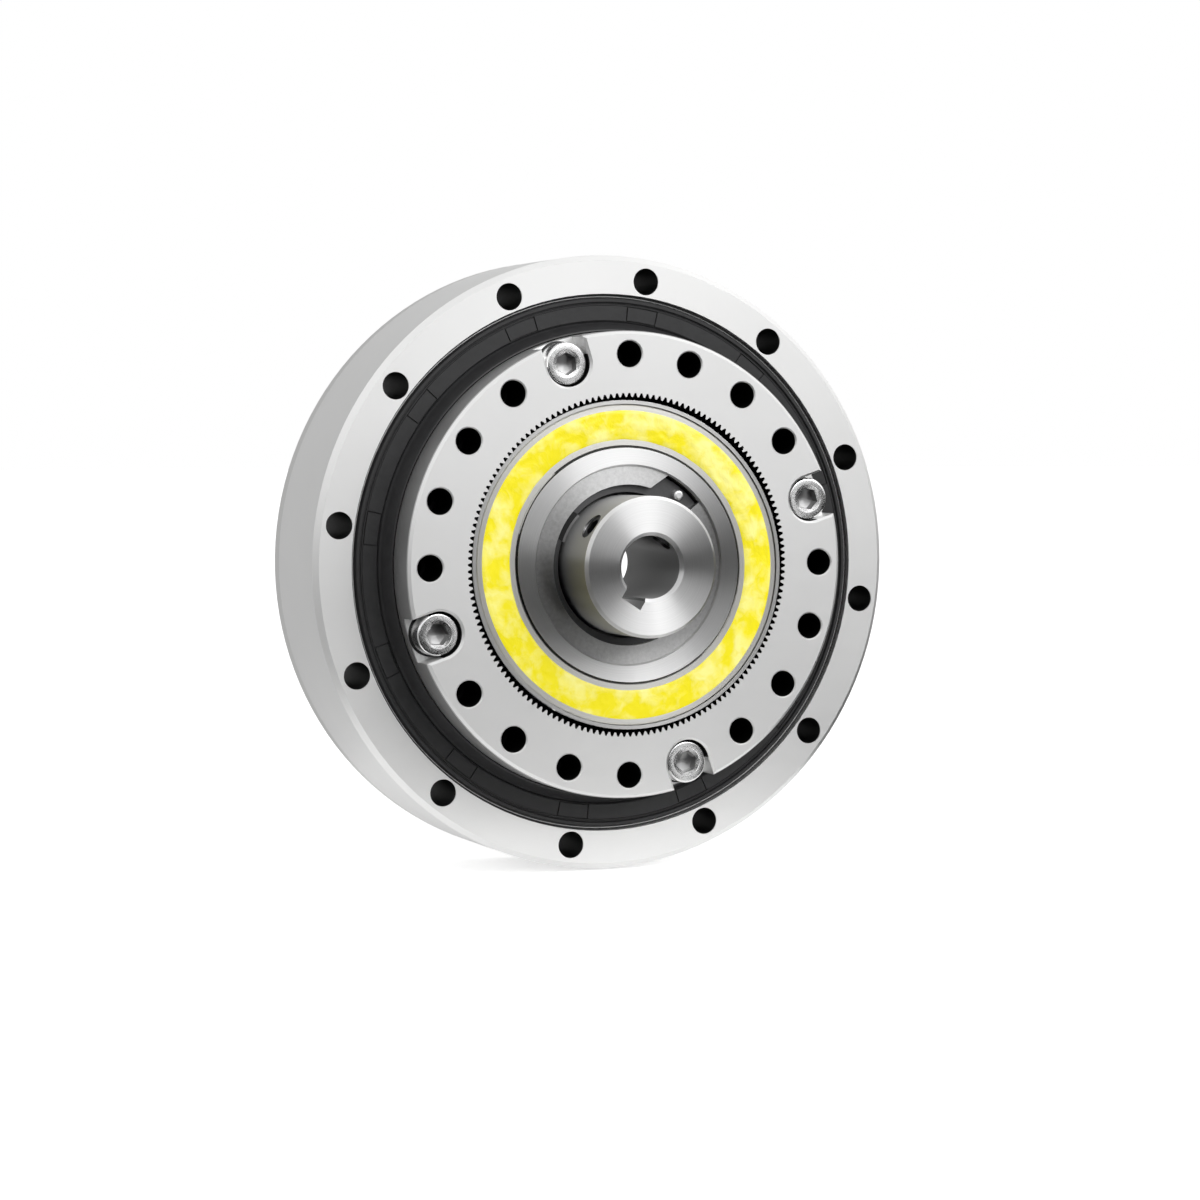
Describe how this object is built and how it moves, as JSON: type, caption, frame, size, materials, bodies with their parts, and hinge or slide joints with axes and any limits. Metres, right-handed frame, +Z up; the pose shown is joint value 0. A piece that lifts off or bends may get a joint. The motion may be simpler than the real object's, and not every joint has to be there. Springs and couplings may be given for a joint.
{
  "type": "strain wave gear",
  "caption": "Component-type strain wave gear: bolted round case with crossed roller bearing, toothed output ring, greased wave generator and keyed input hub.",
  "frame": {"origin": "centre of the mounting face, on the gear's axis", "axes": "+Y along the axis, out of the mounting face at the back; the input hub faces -Y; +Z up as in the picture, +X right seen from the front"},
  "size_m": [0.08, 0.0322, 0.08],
  "materials": {
    "case_steel": "satin ground face, turned side",
    "output_steel": "satin ground face, darker turned side",
    "spring_steel": "bright thin-walled alloy steel",
    "bearing_steel": "ground bearing steel",
    "turned_steel": "face turned, bright and dark in wedges",
    "screw_steel": "bright plated",
    "pin_steel": "bright",
    "pressed_steel": "plain pressed spring steel",
    "insert_steel": "dark oiled steel",
    "black_screw_steel": "blackened",
    "seal_rubber": "moulded black rubber",
    "grease": "yellow grease, lumpy and wet",
    "cage_nylon": "natural nylon"
  },
  "bodies": {
    "case": {"outer_ring": "case_steel", "roller_loading_plug": "case_steel", "loading_plug_pin": "pin_steel", "rim_screws": "screw_steel", "flange_ring_seal": "seal_rubber", "flexspline": "spring_steel", "oil_seal": "seal_rubber", "oil_seal_case": "pressed_steel", "garter_spring": "pressed_steel"},
    "output": {"circular_spline": "output_steel", "inner_ring": "output_steel", "spline_screws": "screw_steel", "output_ring_seal": "seal_rubber"},
    "roller_set": {"crossed_rollers": "bearing_steel"},
    "wave_generator": {"wave_generator_plug": "turned_steel", "bearing_inner_race": "bearing_steel", "bearing_outer_race": "bearing_steel", "bearing_grease": "grease", "retaining_ring": "pressed_steel"},
    "ball_set": {"bearing_balls": "bearing_steel", "ball_cage": "cage_nylon"},
    "insert": {"oldham_insert": "insert_steel", "stop_pin": "pin_steel"},
    "hub": {"input_hub": "turned_steel", "hub_set_screws": "black_screw_steel", "rub_washer": "pressed_steel", "hub_snap_ring": "pressed_steel"}
  },
  "joints": [
    {"name": "input_rotation", "type": "hinge", "parent": "case", "child": "wave_generator", "pos_m": [0, -0.0213, 0], "axis": [0, 1, 0], "continuous": true, "deforming": ["flexspline"]},
    {"name": "output_rotation", "type": "hinge", "parent": "case", "child": "output", "pos_m": [0, -0.0213, 0], "axis": [0, 1, 0], "continuous": true},
    {"name": "roller_orbit", "type": "hinge", "parent": "case", "child": "roller_set", "pos_m": [0, -0.0082, 0], "axis": [0, 1, 0], "continuous": true},
    {"name": "ball_orbit", "type": "hinge", "parent": "case", "child": "ball_set", "pos_m": [0, -0.0213, 0], "axis": [0, 1, 0], "continuous": true, "deforming": ["bearing_balls", "ball_cage"]},
    {"name": "insert_slide", "type": "slide", "parent": "wave_generator", "child": "insert", "axis": [0.5299, 0, 0.848], "range_m": [-0.00015, 0.00015]},
    {"name": "hub_slide", "type": "slide", "parent": "insert", "child": "hub", "axis": [0.848, 0, -0.5299], "range_m": [-0.00015, 0.00015]}
  ],
  "couplings": [
    {"joint": "output_rotation", "follows": "input_rotation", "ratio": 0.012346},
    {"joint": "roller_orbit", "follows": "input_rotation", "ratio": 0.0059144},
    {"joint": "ball_orbit", "follows": "input_rotation", "ratio": 0.45148}
  ]
}
